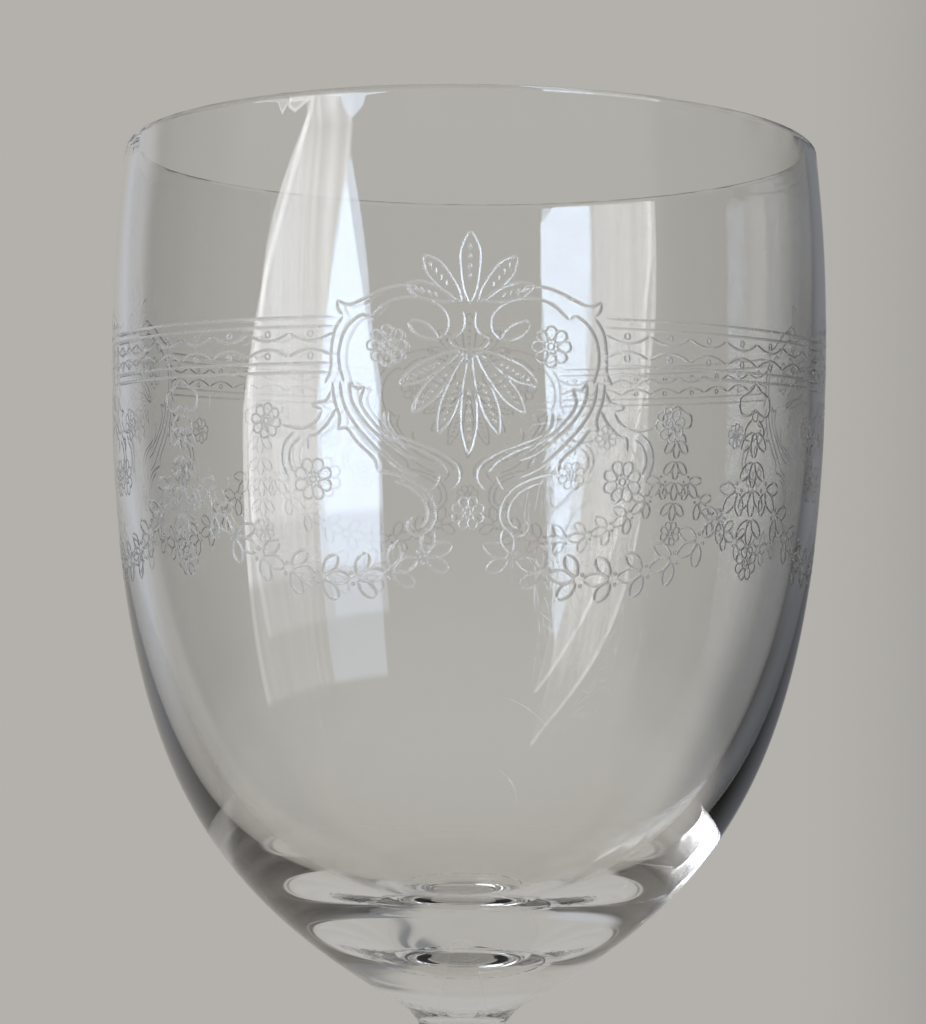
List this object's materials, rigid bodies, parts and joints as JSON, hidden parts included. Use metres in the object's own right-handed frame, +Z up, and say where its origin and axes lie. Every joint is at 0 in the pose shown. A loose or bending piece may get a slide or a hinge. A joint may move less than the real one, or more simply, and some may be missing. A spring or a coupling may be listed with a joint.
{
  "type": "wine glass",
  "caption": "Stemmed wine glass with a tall, gently barrelled etched bowl on a thick solid base, a plain slim stem and a round foot.",
  "frame": {"origin": "centre of the foot, on the surface that the glass stands on", "axes": "+Z up along the stem; the middle of the etched cartouche faces -Y"},
  "size_m": [0.0744, 0.0744, 0.17],
  "materials": {
    "bowl_glass": "clear polished glass, etched outside",
    "stem_glass": "clear polished glass",
    "foot_glass": "clear polished glass"
  },
  "bodies": {
    "root": {"bowl": "bowl_glass", "stem": "stem_glass", "foot": "foot_glass"}
  },
  "joints": []
}
